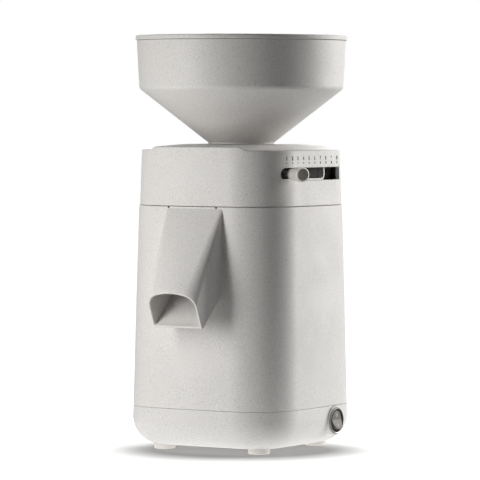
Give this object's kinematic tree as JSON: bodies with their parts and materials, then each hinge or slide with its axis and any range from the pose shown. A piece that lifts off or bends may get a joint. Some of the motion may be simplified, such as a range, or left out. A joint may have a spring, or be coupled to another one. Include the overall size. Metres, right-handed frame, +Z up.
{
  "type": "electric grain mill",
  "caption": "Household stone mill that grinds grain into flour: round hopper, square tapered motor housing, front flour spout, fineness lever and mains rocker switch.",
  "frame": {"origin": "centre of the mill's bounding box on the plane the feet stand on", "axes": "+Z up, -Y towards the front with the flour spout, +X towards the side with the setting lever and the power switch"},
  "size_m": [0.1942, 0.2182, 0.375],
  "materials": {
    "casing": "matt, flecked with plant fibre",
    "foot_pad": "soft matt",
    "inner_plastic": "matt",
    "dark_plastic": "matt",
    "pale_plastic": "matt",
    "screw_steel": "zinc plated",
    "plate_steel": "bare",
    "plate_aluminium": "cast",
    "head_frame": "matt",
    "seal_rubber": "matt",
    "lamination": "laminated",
    "copper": "enamelled wire",
    "bearing_steel": "ground",
    "shaft_steel": "turned",
    "capacitor_can": "smooth",
    "lead_blue": "insulation",
    "lead_brown": "insulation",
    "bezel_metal": "bright",
    "rocker_plastic": "satin",
    "lever_metal": "satin turned",
    "cap_plastic": "matt",
    "stone": "sintered, coarse"
  },
  "bodies": {
    "housing": {"base_tray": "casing", "feet": "foot_pad", "foot_screws": "screw_steel", "main_housing": "casing", "flour_spout": "casing", "spout_screws": "screw_steel", "flour_duct": "inner_plastic", "motor_plate": "plate_aluminium", "plate_screws": "screw_steel", "milling_chamber": "inner_plastic", "chamber_screws": "screw_steel", "chamber_seal": "seal_rubber", "shaft_seal": "seal_rubber", "stator_core": "lamination", "stator_windings": "copper", "upper_end_shield": "plate_aluminium", "lower_end_shield": "plate_aluminium", "shield_screws": "screw_steel", "tie_bolts": "screw_steel", "upper_bearing_outer": "bearing_steel", "lower_bearing_outer": "bearing_steel", "run_capacitor": "capacitor_can", "capacitor_clip": "plate_steel", "terminal_block": "inner_plastic", "switch_body": "dark_plastic", "switch_bezel": "bezel_metal", "cord_gland": "dark_plastic", "lead_line_in": "lead_brown", "lead_line_out": "lead_brown", "lead_neutral": "lead_blue", "capacitor_leads": "lead_brown"},
    "head": {"head_shell": "casing", "head_plate": "head_frame", "head_screws": "screw_steel", "ring_retainer": "plate_steel", "retainer_screws": "screw_steel", "slot_rail": "pale_plastic"},
    "adjuster": {"adjusting_ring": "dark_plastic", "lever_stem": "lever_metal", "lever_knob": "lever_metal", "knob_cap": "cap_plastic"},
    "upper_stone_carrier": {"stone_holder": "pale_plastic", "upper_stone": "stone", "upper_stone_screws": "screw_steel"},
    "hopper_unit": {"hopper": "casing", "neck_ring": "seal_rubber", "finger_guard": "pale_plastic"},
    "lid": {"hopper_lid": "casing"},
    "runner": {"motor_shaft": "shaft_steel", "shaft_key": "plate_steel", "rotor_core": "lamination", "rotor_end_rings": "plate_aluminium", "upper_bearing_inner": "bearing_steel", "lower_bearing_inner": "bearing_steel", "bearing_balls": "bearing_steel", "cooling_fan": "inner_plastic", "stone_hub": "inner_plastic", "lower_stone": "stone", "feed_screw": "shaft_steel"},
    "rocker": {"switch_rocker": "rocker_plastic"}
  },
  "joints": [
    {"name": "mill_spin", "type": "hinge", "parent": "housing", "child": "runner", "pos_m": [-0.00094, 0.01295, 0.11], "axis": [0, 0, 1], "continuous": true},
    {"name": "head_lift", "type": "slide", "parent": "housing", "child": "head", "axis": [0, 0, 1], "range_m": [0, 0.12]},
    {"name": "lever_turn", "type": "hinge", "parent": "head", "child": "adjuster", "pos_m": [-0.00094, 0.01295, 0.2502], "axis": [0, 0, 1], "range_deg": [-3.5, 39]},
    {"name": "stone_gap", "type": "slide", "parent": "head", "child": "upper_stone_carrier", "axis": [0, 0, 1], "range_m": [-0.00005, 0.00048]},
    {"name": "hopper_lift", "type": "slide", "parent": "head", "child": "hopper_unit", "axis": [0, 0, 1], "range_m": [0, 0.12]},
    {"name": "lid_lift", "type": "slide", "parent": "hopper_unit", "child": "lid", "axis": [0, 0, 1], "range_m": [0, 0.1]},
    {"name": "rocker_tilt", "type": "hinge", "parent": "housing", "child": "rocker", "pos_m": [0.08356, 0.03845, 0.026], "axis": [0, 1, 0], "range_deg": [0, 22]}
  ],
  "couplings": [
    {"joint": "stone_gap", "follows": "lever_turn", "m_per_rad": 0.00063662}
  ]
}
